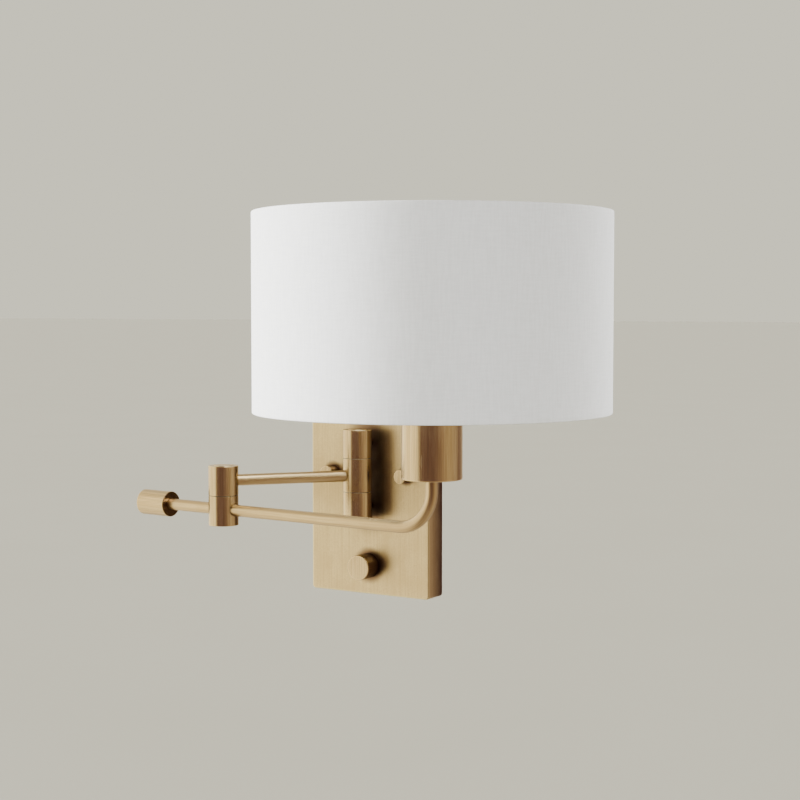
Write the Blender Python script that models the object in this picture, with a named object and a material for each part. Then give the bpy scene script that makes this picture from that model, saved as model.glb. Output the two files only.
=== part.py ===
"""Swing arm wall sconce with a drum shade, modelled as the loose pieces it is assembled from.

Frame: the wall is the plane Y = 0, the lamp stands out of it towards -Y, and +Z is up. The origin is the
middle of the crossbar, where it bears on the wall. Lengths below are in millimetres and are turned into
metres by mm(). The inner arm and the outer arm each have an empty on their hinge axis, whose local +X runs
along the arm, so that every piece of an arm is placed along that arm.
"""

import math

import bmesh
import bpy
from mathutils import Matrix, Vector

# ---------------------------------------------------------------- driving dimensions, in millimetres

GAP = 0.3  # left between pieces that touch, so that no two solids overlap
SLIP = 0.2  # radial room of a shaft in its bore

CANOPY_WIDTH = 120.0
CANOPY_TOP = 60.0
CANOPY_BOTTOM = -105.3
CANOPY_DEPTH = 23.3
CANOPY_WALL = 1.5
CANOPY_CORNER = 3.0
CANOPY_EDGE = 1.0

CAP_NUT_X = 37.65  # half the distance between the two studs
CAP_NUT_RADIUS = 6.0
CAP_NUT_LENGTH = 11.2

HUB_RADIUS = 12.5
POST_Y = -41.8
POST_TOP = 39.6
POST_UPPER_SEAM = 15.2
POST_LOWER_SEAM = -13.7
POST_BOTTOM = -38.1
SEAM = 0.5  # between two sleeves, with a washer in it
STANDOFF_Z = 27.2
STANDOFF_RADIUS = 4.0

INNER_ARM = 117.7
INNER_ARM_ANGLE = -128.6  # from +X, seen from above
ELBOW_TOP = 12.6
ELBOW_SEAM = -12.1
ELBOW_BOTTOM = -37.1
OUTER_ARM = 211.3
OUTER_ARM_ANGLE = 124.27  # from the inner arm
OUTER_ARM_Z = -24.1

TUBE_RADIUS = 4.8
TUBE_WALL = 1.1
TUBE_START = 7.6  # a tube's end, from the axis of the hub that holds it
BEND_RADIUS = 30.0

SPINDLE_RADIUS = 4.8
SPINDLE_WALL = 1.6
PLUG_RADIUS = 8.2
PLUG_THICKNESS = 2.7
PLUG_PROUD = 0.3
NUT_POCKET = 6.2  # depth of the pocket that takes a spindle nut under a plug

GRIP_NEAR = 60.2
GRIP_FAR = 91.0
GRIP_RADIUS = 10.8

KNOB_Z = -80.1
KNOB_RADIUS = 10.8
KNOB_FRONT = 41.6
KNOB_BACK = 24.2

CUP_BOTTOM = 14.5
CUP_TOP = 76.0
CUP_RADIUS = 23.2
CUP_WALL = 1.2

SHADE_RADIUS = 135.0
SHADE_BOTTOM = 65.0
SHADE_TOP = 215.0
FABRIC = 0.5
LINER = 0.5
HEM = 4.4  # how far the turned-in hem reaches over a hoop
HOOP_WIRE = 1.5
FITTER_Z = 76.8

# Sides of the round pieces: small hidden ones, hubs and knobs, and the wide ones.
FEW, SOME, MANY = 12, 28, 64


def mm(value):
    return value * 0.001


# ---------------------------------------------------------------- materials


def principled(name, colour, metallic, roughness, transmission=0.0):
    material = bpy.data.materials.new(name)
    material.use_nodes = True
    shader = material.node_tree.nodes["Principled BSDF"]
    shader.inputs["Base Color"].default_value = (*colour, 1.0)
    shader.inputs["Metallic"].default_value = metallic
    shader.inputs["Roughness"].default_value = roughness
    shader.inputs["Transmission Weight"].default_value = transmission
    material.diffuse_color = (*colour, 1.0)
    return material


# ---------------------------------------------------------------- building tools


def clear_scene():
    for obj in list(bpy.data.objects):
        bpy.data.objects.remove(obj, do_unlink=True)


def axis_empty(name, location, angle_degrees=0.0, parent=None):
    """An empty on a hinge axis. Its local +X points along what turns on it."""
    empty = bpy.data.objects.new(name, None)
    empty.location = [mm(c) for c in location]
    empty.rotation_euler = (0.0, 0.0, math.radians(angle_degrees))
    empty.parent = parent
    bpy.context.scene.collection.objects.link(empty)
    return empty


def finish_object(bm, name, material, parent, location, rotation):
    bmesh.ops.remove_doubles(bm, verts=bm.verts, dist=1e-7)
    bmesh.ops.recalc_face_normals(bm, faces=bm.faces)
    mesh = bpy.data.meshes.new(name)
    bm.to_mesh(mesh)
    bm.free()
    mesh.shade_smooth()
    mesh.set_sharp_from_angle(angle=math.radians(35))
    obj = bpy.data.objects.new(name, mesh)
    bpy.context.scene.collection.objects.link(obj)
    obj.location = [mm(c) for c in location]
    obj.rotation_euler = rotation
    obj.parent = parent
    if material:
        mesh.materials.append(material)
    return obj


UPRIGHT = (0.0, 0.0, 0.0)  # local +Z stays up
OUT_OF_WALL = (math.radians(90), 0.0, 0.0)  # local +Z points to -Y, away from the wall
ALONG_ARM = (0.0, math.radians(90), 0.0)  # local +Z points to the parent's +X
AGAINST_ARM = (0.0, math.radians(-90), 0.0)  # local +Z points to the parent's -X


def turned(name, profile, sides, material=None, parent=None, location=(0, 0, 0), rotation=UPRIGHT):
    """A turned piece. The profile is (radius, height) points in millimetres: it starts and ends on the
    axis, or is a closed ring that stays clear of it."""
    bm = bmesh.new()
    verts = [bm.verts.new((mm(radius), 0.0, mm(height))) for radius, height in profile]
    edges = [bm.edges.new(pair) for pair in zip(verts, verts[1:])]
    if profile[0][0] > 0:
        edges.append(bm.edges.new((verts[-1], verts[0])))
    bmesh.ops.spin(
        bm,
        geom=verts + edges,
        cent=(0, 0, 0),
        axis=(0, 0, 1),
        angle=math.tau,
        steps=sides,
        use_merge=True,
    )
    return finish_object(bm, name, material, parent, location, rotation)


def rod(radius, low, high, chamfer=0.0):
    """Profile of a solid round bar, with both rims chamfered."""
    if not chamfer:
        return [(0, low), (radius, low), (radius, high), (0, high)]
    return [
        (0, low),
        (radius - chamfer, low),
        (radius, low + chamfer),
        (radius, high - chamfer),
        (radius - chamfer, high),
        (0, high),
    ]


def sleeve(outer, bore, low, high, chamfer=0.0):
    """Profile of a tube with its outer rims chamfered."""
    return [
        (bore, low),
        (outer - chamfer, low),
        (outer, low + chamfer),
        (outer, high - chamfer),
        (outer - chamfer, high),
        (bore, high),
    ] if chamfer else [(bore, low), (outer, low), (outer, high), (bore, high)]


def cut(obj, cutter):
    """Takes cutter out of obj with a live Boolean, and keeps the cutter out of the model."""
    cutter.hide_render = True
    cutter.display_type = "WIRE"
    modifier = obj.modifiers.new("cut " + cutter.name, "BOOLEAN")
    modifier.operation = "DIFFERENCE"
    modifier.object = cutter
    return obj


def drill(obj, radius, low, high, parent=None, location=(0, 0, 0), rotation=UPRIGHT, sides=FEW):
    """Drills a round hole from low to high along the local +Z of the given place."""
    name = f"drill_{obj.name}_{len(obj.modifiers)}"
    cut(obj, turned(name, rod(radius, low, high), sides, None, parent, location, rotation))


def rounded_rectangle(width, low, high, corner, depth, steps=3):
    """Points of an upright rounded rectangle in X and Z, at a depth out of the wall, in metres."""
    points = []
    corners = ((1, high, 0), (-1, high, 90), (-1, low, 180), (1, low, 270))
    for side, level, start in corners:
        centre_x = side * (width / 2 - corner)
        centre_z = level - corner if level == high else level + corner
        for step in range(steps + 1):
            angle = math.radians(start + 90 * step / steps)
            x = centre_x + corner * math.cos(angle)
            z = centre_z + corner * math.sin(angle)
            points.append(Vector((mm(x), mm(-depth), mm(z))))
    return points


def lofted(name, rings, material=None, parent=None, location=(0, 0, 0), rotation=UPRIGHT):
    """A closed solid through rings of equally many points, with its first and last ring filled."""
    bm = bmesh.new()
    loops = [[bm.verts.new(point) for point in ring] for ring in rings]
    bm.faces.new(loops[0])
    for near, far in zip(loops, loops[1:]):
        for i, vert in enumerate(near):
            j = (i + 1) % len(near)
            bm.faces.new((vert, near[j], far[j], far[i]))
    bm.faces.new(reversed(loops[-1]))
    return finish_object(bm, name, material, parent, location, rotation)


def slab(name, width, low, high, corner, back, front, material, location=(0, 0, 0)):
    """A flat plate with rounded corners, from one depth out of the wall to another."""
    rings = [rounded_rectangle(width, low, high, corner, depth) for depth in (back, front)]
    return lofted(name, rings, material, location=location)


def swept(name, path, radius, sides, material, parent, bore=0.0):
    """A round bar, or a tube if it has a bore, along a path of points in millimetres that lies in one
    upright plane through the parent's X axis."""
    points = [Vector([mm(c) for c in point]) for point in path]
    side = Vector((0, 1, 0))

    def ring(index, ring_radius):
        before = points[max(index - 1, 0)]
        after = points[min(index + 1, len(points) - 1)]
        along = (after - before).normalized()
        lift = along.cross(side)
        turn = [math.tau * k / sides for k in range(sides)]
        return [points[index] + mm(ring_radius) * (math.cos(t) * side + math.sin(t) * lift) for t in turn]

    order = range(len(points))
    rings = [ring(i, radius) for i in order]
    if not bore:
        return lofted(name, rings, material, parent)
    rings += [ring(i, bore) for i in reversed(order)]
    bm = bmesh.new()
    loops = [[bm.verts.new(point) for point in points_of_ring] for points_of_ring in rings]
    for near, far in zip(loops, loops[1:] + loops[:1]):
        for i, vert in enumerate(near):
            j = (i + 1) % sides
            bm.faces.new((vert, near[j], far[j], far[i]))
    return finish_object(bm, name, material, parent, (0, 0, 0), UPRIGHT)


def hex_nut(name, across_flats, bore, low, high, material, parent=None, location=(0, 0, 0), rotation=UPRIGHT):
    """A hexagonal nut: a six-sided turned piece with a round hole drilled through it."""
    corner = across_flats / 2 / math.cos(math.radians(30))
    nut = turned(name, rod(corner, low, high), 6, material, parent, location, rotation)
    drill(nut, bore, low - 1, high + 1, parent, location, rotation)
    return nut


# ---------------------------------------------------------------- wall plate


def build_canopy(brass):
    """The pressed cover over the wall box: an open-backed pan with softly broken edges."""

    def ring(inset, depth):
        corner = max(CANOPY_CORNER - inset, 0.6)
        low, high = CANOPY_BOTTOM + inset, CANOPY_TOP - inset
        return rounded_rectangle(CANOPY_WIDTH - 2 * inset, low, high, corner, depth)

    turns = [math.radians(a) for a in (90, 60, 30, 0)]
    outside = [
        ring(CANOPY_EDGE * (1 - math.cos(t)), CANOPY_DEPTH - CANOPY_EDGE * (1 - math.sin(t))) for t in turns
    ]
    inside = [ring(CANOPY_WALL, 0), ring(CANOPY_WALL, CANOPY_DEPTH - CANOPY_WALL)]
    canopy = lofted("canopy", outside + [ring(0, 0)] + inside, brass)
    holes = [
        (CAP_NUT_X, 0, 2.4),
        (-CAP_NUT_X, 0, 2.4),
        (0, STANDOFF_Z, STANDOFF_RADIUS + GAP),
        (0, -STANDOFF_Z, STANDOFF_RADIUS + GAP),
        (0, KNOB_Z, 5.0),
    ]
    for x, z, radius in holes:
        low, high = CANOPY_DEPTH - 5, CANOPY_DEPTH + 2
        drill(canopy, radius, low, high, location=(x, 0, z), rotation=OUT_OF_WALL)


def build_crossbar(steel, green, brass):
    """The strap that is screwed to the wall box, with the two studs whose cap nuts hold the canopy on."""
    strap_depth = 2.0
    strap = slab("crossbar", 104, -10, 10, 4, 0, strap_depth, steel)
    for side in (-1, 1):
        slot = slab(f"slot_{side}", 9.2, -2.3, 2.3, 2.2, -1, 4, None, (side * 44.5, 0, 0))
        cut(strap, slot)
    for label, x in (("left", -CAP_NUT_X), ("right", CAP_NUT_X)):
        place = {"location": (x, 0, 0), "rotation": OUT_OF_WALL}
        drill(strap, 2.15, -1, 4, **place)
        turned(f"stud_{label}", rod(1.9, GAP, 32.0, 0.4), FEW, steel, **place)
        hex_nut(f"stud_nut_{label}", 7.5, 2.15, strap_depth + GAP, 5.0, steel, **place)
        back = CANOPY_DEPTH + GAP
        front = back + CAP_NUT_LENGTH
        edge = 0.5
        cap = [
            (0, front),
            (CAP_NUT_RADIUS - edge, front),
            (CAP_NUT_RADIUS, front - edge),
            (CAP_NUT_RADIUS, back),
            (2.2, back),
            (2.2, front - 1.6),
            (0, front - 1.6),
        ]
        turned(f"cap_nut_{label}", cap[::-1], 24, brass, **place)
    screw_place = {"location": (16, 0, 0), "rotation": OUT_OF_WALL}
    drill(strap, 2.15, -1, 4, **screw_place)
    head = [(0, GAP), (1.9, GAP), (1.9, 2.3), (4.2, 2.3), (4.2, 4.6), (3.4, 5.2), (0, 5.2)]
    turned("ground_screw", head, FEW, green, **screw_place)


def hub_sleeve(name, seam_end, plug_end, brass, parent=None, location=(0, 0, 0)):
    """A sleeve on a hinge spindle, with a plug in its outer end that hides the spindle and its nut."""
    bore = SPINDLE_RADIUS + SLIP
    pocket = PLUG_RADIUS + SLIP
    away = 1 if plug_end > seam_end else -1
    shelf = plug_end - away * NUT_POCKET
    profile = [
        (bore, seam_end),
        (HUB_RADIUS - 0.2, seam_end),
        (HUB_RADIUS, seam_end + away * 0.2),
        (HUB_RADIUS, plug_end - away * 0.4),
        (HUB_RADIUS - 0.4, plug_end),
        (pocket, plug_end),
        (pocket, shelf),
        (bore, shelf),
    ]
    body = turned(name, profile, SOME, brass, parent, location)
    inside, outside = plug_end - away * PLUG_THICKNESS, plug_end + away * PLUG_PROUD
    plug = rod(PLUG_RADIUS, min(inside, outside), max(inside, outside), 0.3)
    turned(name.replace("sleeve", "plug"), plug, 20, brass, parent, location)
    return body


def spindle_nut(name, plug_end, away, steel, parent=None, location=(0, 0, 0)):
    """The round nut that holds a spindle's end inside a sleeve's pocket."""
    inner = plug_end - away * (NUT_POCKET - GAP)
    outer = plug_end - away * (PLUG_THICKNESS + GAP)
    ring = sleeve(7.4, SPINDLE_RADIUS + SLIP, min(inner, outer), max(inner, outer), 0.3)
    turned(name, ring, FEW, steel, parent, location)


def hinge_spindle(name, bottom_end, top_end, steel, parent=None, location=(0, 0, 0)):
    """The tube that a hinge turns on. Its ends stop short of the plugs."""
    reach = PLUG_THICKNESS + GAP
    profile = sleeve(SPINDLE_RADIUS, SPINDLE_RADIUS - SPINDLE_WALL, bottom_end + reach, top_end - reach)
    turned(name, profile, 20, steel, parent, location)


def seam_washer(name, seam, nylon, parent=None, location=(0, 0, 0)):
    """The thin washer between two sleeves, which shows as a dark line round the hub."""
    half = SEAM / 2 - 0.1
    ring = sleeve(HUB_RADIUS - 0.6, SPINDLE_RADIUS + SLIP, seam - half, seam + half)
    turned(name, ring, SOME, nylon, parent, location)


def build_post(brass, steel, nylon):
    """The fixed half of the wall hinge: two sleeves on standoffs, and the spindle through them."""
    centre = (0, POST_Y, 0)
    half_seam = SEAM / 2
    ends = (
        ("upper", 1, POST_UPPER_SEAM, POST_TOP),
        ("lower", -1, POST_LOWER_SEAM, POST_BOTTOM),
    )
    hole_end = -POST_Y - 7.4
    for label, away, seam, plug_end in ends:
        seam_end = seam + away * half_seam
        body = hub_sleeve(f"post_{label}_sleeve", seam_end, plug_end, brass, None, centre)
        tapped = {"location": (0, 0, away * STANDOFF_Z), "rotation": OUT_OF_WALL}
        drill(body, STANDOFF_RADIUS + SLIP, 20, hole_end, **tapped)
        spindle_nut(f"post_{label}_nut", plug_end, away, steel, None, centre)
        seam_washer(f"post_{label}_washer", seam, nylon, None, centre)
    hinge_spindle("post_spindle", POST_BOTTOM, POST_TOP, steel, None, centre)

    inner_end, outer_end = 15.5, hole_end - GAP
    nut_low, nut_high = 17.4, CANOPY_DEPTH - CANOPY_WALL - GAP
    above = {"location": (0, 0, STANDOFF_Z), "rotation": OUT_OF_WALL}
    below = {"location": (0, 0, -STANDOFF_Z), "rotation": OUT_OF_WALL}
    turned("wire_nipple", sleeve(STANDOFF_RADIUS, 2.4, inner_end, outer_end), 20, brass, **above)
    turned("lower_standoff", rod(STANDOFF_RADIUS, inner_end, outer_end), 20, brass, **below)
    hex_nut("wire_nipple_nut", 12.0, STANDOFF_RADIUS + SLIP, nut_low, nut_high, steel, **above)
    hex_nut("lower_standoff_nut", 12.0, STANDOFF_RADIUS + SLIP, nut_low, nut_high, steel, **below)


def build_dimmer(phenolic, brass, steel, wire, dimmer_axis):
    """The rotary dimmer behind the canopy, its panel nut, shaft and knob, and the lead up to the nipple."""
    body_back, body_front = 7.0, 19.0
    half = 13.0
    body_top = KNOB_Z + half - 1
    slab("dimmer_body", 2 * half, KNOB_Z - half + 1, body_top, 2, body_back, body_front, phenolic)
    place = {"location": (0, 0, KNOB_Z), "rotation": OUT_OF_WALL}
    bushing = sleeve(4.7, 3.3, body_front + GAP, 28.8)
    turned("dimmer_bushing", bushing, 20, steel, **place)
    hex_nut("dimmer_panel_nut", 12.5, 4.9, CANOPY_DEPTH + GAP, 26.2, steel, **place)
    on_axis = {"parent": dimmer_axis, "rotation": OUT_OF_WALL}
    shaft = [(0, 19.6), (3.0, 19.6), (3.0, 37.2), (2.4, 37.8), (0, 37.8)]
    turned("dimmer_shaft", shaft, 20, steel, **on_axis)
    edge = 0.6
    knob = [
        (0, 38.2),
        (3.2, 38.2),
        (3.2, 29.4),
        (8.6, 29.4),
        (8.6, KNOB_BACK),
        (KNOB_RADIUS - 0.3, KNOB_BACK),
        (KNOB_RADIUS, KNOB_BACK + 0.3),
        (KNOB_RADIUS, KNOB_FRONT - edge),
        (KNOB_RADIUS - edge, KNOB_FRONT),
        (0, KNOB_FRONT),
    ]
    turned("dimmer_knob", knob, SOME, brass, **on_axis)

    lead_y, bend = -7.0, 8.0
    start = body_top + GAP
    path = [(0, lead_y, start)]
    for step in range(5):
        angle = math.radians(90 * step / 4)
        y = lead_y - bend + bend * math.cos(angle)
        path.append((0, y, STANDOFF_Z - bend + bend * math.sin(angle)))
    path.append((0, POST_Y + 8.2, STANDOFF_Z))
    # The lead's plane crosses the wall, so its frame is turned until local +X is the wall's +Y.
    turned_frame = axis_empty("dimmer_lead_frame", (0, 0, 0), 90)
    swept("dimmer_lead", [(y, 0, z) for _, y, z in path], 1.5, 8, wire, turned_frame)


# ---------------------------------------------------------------- inner arm


def build_inner_arm(brass, steel, nylon, wire, axis):
    """What turns on the post: the shoulder hub, the inner tube, and the elbow's upper sleeve and spindle."""
    bore = SPINDLE_RADIUS + SLIP
    half_seam = SEAM / 2
    hub = sleeve(HUB_RADIUS, bore, POST_LOWER_SEAM + half_seam, POST_UPPER_SEAM - half_seam, 0.2)
    shoulder = turned("shoulder_hub", hub, SOME, brass, axis)
    hole = TUBE_RADIUS + SLIP
    drill(shoulder, hole, 3, 15, axis, rotation=ALONG_ARM, sides=20)
    inner_path = [(TUBE_START, 0, 0), (INNER_ARM - TUBE_START, 0, 0)]
    swept("inner_arm_tube", inner_path, TUBE_RADIUS, 20, brass, axis, TUBE_RADIUS - TUBE_WALL)
    lead_path = [(TUBE_START - 1, 0, 0), (INNER_ARM - TUBE_START + 1, 0, 0)]
    swept("inner_arm_lead", lead_path, 1.9, 8, wire, axis)

    elbow = (INNER_ARM, 0, 0)
    body = hub_sleeve("elbow_upper_sleeve", ELBOW_SEAM + half_seam, ELBOW_TOP, brass, axis, elbow)
    drill(body, hole, 3, 15, axis, elbow, AGAINST_ARM, 20)
    spindle_nut("elbow_upper_nut", ELBOW_TOP, 1, steel, axis, elbow)
    spindle_nut("elbow_lower_nut", ELBOW_BOTTOM, -1, steel, axis, elbow)
    hinge_spindle("elbow_spindle", ELBOW_BOTTOM, ELBOW_TOP, steel, axis, elbow)
    seam_washer("elbow_washer", ELBOW_SEAM, nylon, axis, elbow)


# ---------------------------------------------------------------- outer arm and lamp


def outer_arm_path(start, end_height, steps=8):
    """The outer tube's centre line in its arm's XZ plane: along the arm, round the bend and straight up."""
    path = [(start, 0, OUTER_ARM_Z)]
    for step in range(steps + 1):
        angle = math.radians(90 * step / steps)
        x = OUTER_ARM - BEND_RADIUS + BEND_RADIUS * math.sin(angle)
        path.append((x, 0, OUTER_ARM_Z + BEND_RADIUS * (1 - math.cos(angle))))
    path.append((OUTER_ARM, 0, end_height))
    return path


def build_outer_arm(brass, wire, axis):
    """What turns on the elbow: its lower sleeve, the bent tube, and the rod and grip that move the lamp."""
    middle = (0, 0, OUTER_ARM_Z)
    body = hub_sleeve("elbow_lower_sleeve", ELBOW_SEAM - SEAM / 2, ELBOW_BOTTOM, brass, axis)
    hole = TUBE_RADIUS + SLIP
    drill(body, hole, 3, 15, axis, middle, ALONG_ARM, 20)
    drill(body, hole, 3, 15, axis, middle, AGAINST_ARM, 20)

    tube_end = CUP_BOTTOM + 15
    path = outer_arm_path(TUBE_START, tube_end)
    swept("outer_arm_tube", path, TUBE_RADIUS, 20, brass, axis, TUBE_RADIUS - TUBE_WALL)
    swept("outer_arm_lead", outer_arm_path(TUBE_START - 1, tube_end + 2), 1.9, 8, wire, axis)

    rod_end = GRIP_FAR - 9
    turned("handle_rod", rod(TUBE_RADIUS, TUBE_START, rod_end), 20, brass, axis, middle, AGAINST_ARM)
    edge = 0.5
    bore = TUBE_RADIUS + SLIP
    grip = [
        (0, rod_end + GAP),
        (bore, rod_end + GAP),
        (bore, GRIP_NEAR),
        (GRIP_RADIUS - edge, GRIP_NEAR),
        (GRIP_RADIUS, GRIP_NEAR + edge),
        (GRIP_RADIUS, GRIP_FAR - edge),
        (GRIP_RADIUS - edge, GRIP_FAR),
        (0, GRIP_FAR),
    ]
    turned("handle_grip", grip, SOME, brass, axis, middle, AGAINST_ARM)


def build_lampholder(brass, steel, phenolic, aluminium, axis):
    """The cup on the tube's end, the lampholder in it, and the ring that clamps the shade's fitter."""
    lamp = (OUTER_ARM, 0, 0)
    inner = CUP_RADIUS - CUP_WALL
    floor = CUP_BOTTOM + 1.6
    hole = TUBE_RADIUS + SLIP
    cup = [
        (hole, CUP_BOTTOM),
        (CUP_RADIUS - 0.8, CUP_BOTTOM),
        (CUP_RADIUS - 0.2, CUP_BOTTOM + 0.2),
        (CUP_RADIUS, CUP_BOTTOM + 0.8),
        (CUP_RADIUS, CUP_TOP),
        (inner, CUP_TOP),
        (inner, floor),
        (hole, floor),
    ]
    turned("socket_cup", cup, 40, brass, axis, lamp)
    nut_top = floor + 4.3
    hex_nut("cup_locknut", 14.0, hole, floor + GAP, nut_top, steel, axis, lamp)

    base = nut_top + GAP
    chamber_floor = 45.0
    shell_bore = 14.4
    skirt = 18.0
    holder_top = 88.0
    shoulder = CUP_TOP - 3
    rest = CUP_TOP + 0.4
    holder = [
        (0, base),
        (11, base),
        (17, base + 7),
        (17, shoulder),
        (inner - SLIP, shoulder),
        (inner - SLIP, rest),
        (skirt, rest),
        (skirt, holder_top),
        (shell_bore, holder_top),
        (shell_bore, chamber_floor),
        (0, chamber_floor),
    ]
    body = turned("lampholder", holder, SOME, phenolic, axis, lamp)
    drill(body, hole, base - 1, 37, axis, lamp)
    bottom = chamber_floor + GAP
    turned("screw_shell", sleeve(14.1, 13.6, bottom, 86.5), 24, aluminium, axis, lamp)
    turned("centre_contact", rod(3.2, bottom, bottom + 1.8, 0.4), FEW, brass, axis, lamp)
    ring_low = FITTER_Z + 1.5 + GAP
    nut = sleeve(24.0, skirt + SLIP, ring_low, ring_low + 6.0, 0.8)
    turned("shade_ring_nut", nut, SOME, phenolic, axis, lamp)


def build_drum(linen, styrene, axis, lamp):
    """The drum's two skins: linen with its hems turned in at both rims, and the stiff liner behind it."""
    back = SHADE_RADIUS - FABRIC
    lip = SHADE_RADIUS - HEM
    low, high = SHADE_BOTTOM, SHADE_TOP
    skin = [
        (lip, low),
        (SHADE_RADIUS, low),
        (SHADE_RADIUS, high),
        (lip, high),
        (lip, high - FABRIC),
        (back, high - FABRIC),
        (back, low + FABRIC),
        (lip, low + FABRIC),
    ]
    turned("shade_fabric", skin, MANY, linen, axis, lamp)
    outer = back - GAP
    inset = FABRIC + GAP
    liner = sleeve(outer, outer - LINER, low + inset, high - inset)
    turned("shade_liner", liner, MANY, styrene, axis, lamp)
    return outer - LINER


def build_shade(linen, styrene, enamel, axis):
    """The drum, its two wire hoops, and the fitter: a washer with three spokes to the lower hoop."""
    lamp = (OUTER_ARM, 0, 0)
    inner = build_drum(linen, styrene, axis, lamp)
    hoop_radius = inner - GAP - HOOP_WIRE
    rise = FABRIC + GAP + HOOP_WIRE
    heights = {"bottom": SHADE_BOTTOM + rise, "top": SHADE_TOP - rise}

    def hoop_section(height, sides=6):
        turns = [math.tau * k / sides for k in range(sides)]
        return [(hoop_radius + HOOP_WIRE * math.cos(t), height + HOOP_WIRE * math.sin(t)) for t in turns]

    for label, height in heights.items():
        turned(f"shade_hoop_{label}", hoop_section(height), 48, enamel, axis, lamp)

    washer = sleeve(27.0, 18.3, FITTER_Z, FITTER_Z + 1.5)
    fitter = turned("shade_fitter", washer, SOME, enamel, axis, lamp)
    spoke_end = hoop_radius - HOOP_WIRE - GAP
    drop = FITTER_Z + 0.75
    low = heights["bottom"]
    line = [
        (24.5, 0, drop),
        (36, 0, drop),
        (46, 0, drop - 2.4),
        (spoke_end - 12, 0, low + 0.8),
        (spoke_end, 0, low),
    ]
    for index in range(3):
        frame = axis_empty(f"spoke_frame_{index}", lamp, 90 + 120 * index, axis)
        spoke = swept(f"spoke_{index}", line, 1.3, 8, enamel, frame)
        spoke.hide_render = True
        spoke.display_type = "WIRE"
        join = fitter.modifiers.new(f"weld {spoke.name}", "BOOLEAN")
        join.operation = "UNION"
        join.object = spoke


def build_bulb(glass, aluminium, axis):
    """A standard pear bulb in the lampholder: its screw cap, and the blown envelope, open at the neck."""
    lamp = (OUTER_ARM, 0, 0)
    cap = [(0, 47.5), (4.6, 47.5), (5.4, 50.3), (11.6, 53), (13.1, 55), (13.1, 75.2), (0, 75.2)]
    turned("bulb_cap", cap, 20, aluminium, axis, lamp)
    wide, centre, neck, start, shoulder = 30.0, 130.0, 13.1, 75.6, 89.0

    def envelope(offset):
        """Half section from the neck to the crown: a straight neck, a shoulder curve, and a round crown."""
        radius = wide - offset
        inner_neck = neck - offset
        points = [(inner_neck, start)]
        for step in range(5):
            share = step / 4
            ease = share * share * (3 - 2 * share)
            points.append((inner_neck + (radius - inner_neck) * ease, shoulder + (centre - shoulder) * share))
        for step in range(1, 5):
            angle = math.radians(90 * step / 5)
            points.append((radius * math.cos(angle), centre + radius * math.sin(angle)))
        points.append((0, centre + radius))
        return points

    outside, inside = envelope(0.0), envelope(1.0)
    turned("bulb_glass", outside[::-1] + inside, 20, glass, axis, lamp)


def main():
    clear_scene()
    brass = principled("satin_brass", (0.62, 0.45, 0.25), 1.0, 0.34)
    steel = principled("zinc_steel", (0.62, 0.62, 0.60), 1.0, 0.40)
    phenolic = principled("black_phenolic", (0.03, 0.03, 0.03), 0.0, 0.45)
    nylon = principled("grey_nylon", (0.16, 0.13, 0.10), 0.0, 0.55)
    green = principled("green_screw", (0.05, 0.30, 0.09), 0.6, 0.40)
    wire = principled("white_wire", (0.75, 0.74, 0.70), 0.0, 0.50)
    linen = principled("white_linen", (0.84, 0.84, 0.82), 0.0, 0.85)
    styrene = principled("white_styrene", (0.86, 0.86, 0.85), 0.0, 0.45)
    enamel = principled("white_enamel", (0.80, 0.80, 0.78), 0.0, 0.35)
    aluminium = principled("bare_aluminium", (0.80, 0.80, 0.81), 1.0, 0.35)
    glass = principled("frosted_glass", (0.95, 0.95, 0.93), 0.0, 0.45, 0.6)

    wall_pivot = axis_empty("wall_pivot_axis", (0, POST_Y, 0), INNER_ARM_ANGLE)
    elbow_pivot = axis_empty("elbow_pivot_axis", (INNER_ARM, 0, 0), OUTER_ARM_ANGLE, wall_pivot)
    dimmer_axis = axis_empty("dimmer_axis", (0, 0, KNOB_Z))

    build_canopy(brass)
    build_crossbar(steel, green, brass)
    build_post(brass, steel, nylon)
    build_dimmer(phenolic, brass, steel, wire, dimmer_axis)
    build_inner_arm(brass, steel, nylon, wire, wall_pivot)
    build_outer_arm(brass, wire, elbow_pivot)
    build_lampholder(brass, steel, phenolic, aluminium, elbow_pivot)
    build_shade(linen, styrene, enamel, elbow_pivot)
    build_bulb(glass, aluminium, elbow_pivot)
    bpy.context.view_layer.update()


main()
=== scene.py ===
import math

import bmesh
import bpy
from mathutils import Matrix, Vector


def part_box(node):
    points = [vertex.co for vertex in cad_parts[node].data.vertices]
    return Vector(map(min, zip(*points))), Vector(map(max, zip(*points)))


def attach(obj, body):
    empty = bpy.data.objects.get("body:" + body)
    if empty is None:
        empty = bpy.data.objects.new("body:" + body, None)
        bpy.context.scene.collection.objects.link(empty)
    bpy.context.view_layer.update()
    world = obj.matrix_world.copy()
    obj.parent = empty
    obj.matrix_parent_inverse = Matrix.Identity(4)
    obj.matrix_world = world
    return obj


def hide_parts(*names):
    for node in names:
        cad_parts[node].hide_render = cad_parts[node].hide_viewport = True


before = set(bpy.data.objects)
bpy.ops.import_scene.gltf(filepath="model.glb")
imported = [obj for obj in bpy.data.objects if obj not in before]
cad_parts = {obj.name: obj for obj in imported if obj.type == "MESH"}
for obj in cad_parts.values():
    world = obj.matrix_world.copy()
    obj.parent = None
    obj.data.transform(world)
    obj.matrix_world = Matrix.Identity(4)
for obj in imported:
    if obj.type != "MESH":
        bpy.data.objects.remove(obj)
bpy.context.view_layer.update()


# -----
# Studio. The lamp is shown in the air over a pale floor, as it would stand out from its wall.
# A large bright window is on its left, the room in front of it is dim, and warm light comes
# back from the right. The fill light is soft and leaves the metal's reflections alone.

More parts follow.
